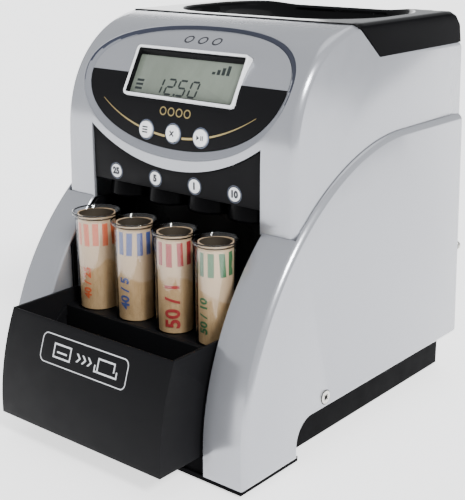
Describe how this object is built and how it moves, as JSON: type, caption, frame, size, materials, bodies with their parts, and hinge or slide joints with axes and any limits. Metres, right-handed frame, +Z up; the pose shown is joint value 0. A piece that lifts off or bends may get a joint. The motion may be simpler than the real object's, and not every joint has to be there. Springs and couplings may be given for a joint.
{
  "type": "coin sorting machine",
  "caption": "Desktop coin sorter with a hopper on top, a leaning display panel, clear coin tubes in a pull-out tray, and silver side covers over a black base.",
  "frame": {"origin": "middle of the footprint, on the surface that the feet stand on, with the tray pulled out", "axes": "+X to the right of someone facing the display, +Y away from them towards the back, +Z up"},
  "size_m": [0.218, 0.297, 0.2702],
  "materials": {
    "silver_plastic": "satin silver paint on moulded plastic",
    "black_plastic": "satin moulded black",
    "fascia_black": "smooth black panel",
    "gloss_black": "gloss black",
    "white_plastic": "smooth white",
    "clear_plastic": "clear moulded plastic",
    "wrapper_paper": "kraft paper with printed colour bars",
    "display_glass": "grey-green liquid crystal behind a clear window",
    "circuit_board": "green solder mask",
    "steel": "brushed",
    "bronze": "sintered",
    "nylon": "natural nylon",
    "rubber": "matte"
  },
  "bodies": {
    "housing": {"base_chassis": "black_plastic", "button_board": "circuit_board", "coin_chute_dime": "black_plastic", "coin_chute_nickel": "black_plastic", "coin_chute_penny": "black_plastic", "coin_chute_quarter": "black_plastic", "coin_fascia": "fascia_black", "coin_track": "steel", "control_board": "circuit_board", "control_panel": "silver_plastic", "display_board": "circuit_board", "display_frame": "white_plastic", "display_module": "black_plastic", "display_window": "display_glass", "drive_motor": "steel", "hopper": "gloss_black", "inner_frame": "black_plastic", "keypad_overlay": "fascia_black", "lane_marker_dime": "white_plastic", "lane_marker_nickel": "white_plastic", "lane_marker_penny": "white_plastic", "lane_marker_quarter": "white_plastic", "left_side_cover": "silver_plastic", "mechanism_frame": "steel", "motor_bracket": "steel", "power_inlet": "black_plastic", "rear_panel": "silver_plastic", "rear_screw_left": "steel", "rear_screw_right": "steel", "right_side_cover": "silver_plastic", "rubber_foot_fl": "rubber", "rubber_foot_fr": "rubber", "rubber_foot_rl": "rubber", "rubber_foot_rr": "rubber", "shaft_bush": "bronze", "side_screw_left": "steel", "side_screw_right": "steel", "sorting_plate": "steel", "switch_body": "black_plastic", "upper_housing": "silver_plastic"},
    "tray": {"coin_tray": "black_plastic", "tube_rack": "black_plastic"},
    "quarter_tube": {"coin_tube_quarter": "clear_plastic", "coin_wrapper_quarter": "wrapper_paper"},
    "nickel_tube": {"coin_tube_nickel": "clear_plastic", "coin_wrapper_nickel": "wrapper_paper"},
    "penny_tube": {"coin_tube_penny": "clear_plastic", "coin_wrapper_penny": "wrapper_paper"},
    "dime_tube": {"coin_tube_dime": "clear_plastic", "coin_wrapper_dime": "wrapper_paper"},
    "mode_key": {"mode_button": "white_plastic"},
    "clear_key": {"clear_button": "white_plastic"},
    "run_key": {"run_button": "white_plastic"},
    "disc_drive": {"feed_disc": "steel", "disc_shaft": "steel", "disc_gear": "nylon"},
    "pinion": {"motor_pinion": "nylon"},
    "rocker": {"power_rocker": "black_plastic"}
  },
  "joints": [
    {"name": "tray_slide", "type": "slide", "parent": "housing", "child": "tray", "axis": [0, -1, 0], "range_m": [-0.035, 0]},
    {"name": "quarter_tube_lift", "type": "slide", "parent": "tray", "child": "quarter_tube", "axis": [0, 0, 1], "range_m": [0, 0.07]},
    {"name": "nickel_tube_lift", "type": "slide", "parent": "tray", "child": "nickel_tube", "axis": [0, 0, 1], "range_m": [0, 0.07]},
    {"name": "penny_tube_lift", "type": "slide", "parent": "tray", "child": "penny_tube", "axis": [0, 0, 1], "range_m": [0, 0.07]},
    {"name": "dime_tube_lift", "type": "slide", "parent": "tray", "child": "dime_tube", "axis": [0, 0, 1], "range_m": [0, 0.07]},
    {"name": "mode_press", "type": "slide", "parent": "housing", "child": "mode_key", "axis": [0, 0.991, -0.1337], "range_m": [0, 0.0012], "stiffness_N_per_m": 300},
    {"name": "clear_press", "type": "slide", "parent": "housing", "child": "clear_key", "axis": [0, 0.991, -0.1337], "range_m": [0, 0.0012], "stiffness_N_per_m": 300},
    {"name": "run_press", "type": "slide", "parent": "housing", "child": "run_key", "axis": [0, 0.991, -0.1337], "range_m": [0, 0.0012], "stiffness_N_per_m": 300},
    {"name": "disc_spin", "type": "hinge", "parent": "housing", "child": "disc_drive", "pos_m": [0, 0.0825, 0.2], "axis": [0, 0, 1], "continuous": true},
    {"name": "pinion_spin", "type": "hinge", "parent": "housing", "child": "pinion", "pos_m": [0.0375, 0.0825, 0.2], "axis": [0, 0, 1], "continuous": true},
    {"name": "rocker_tilt", "type": "hinge", "parent": "housing", "child": "rocker", "pos_m": [0.06, 0.1435, 0.066], "axis": [1, 0, 0], "range_deg": [0, 16]}
  ],
  "couplings": [
    {"joint": "pinion_spin", "follows": "disc_spin", "ratio": -4}
  ]
}
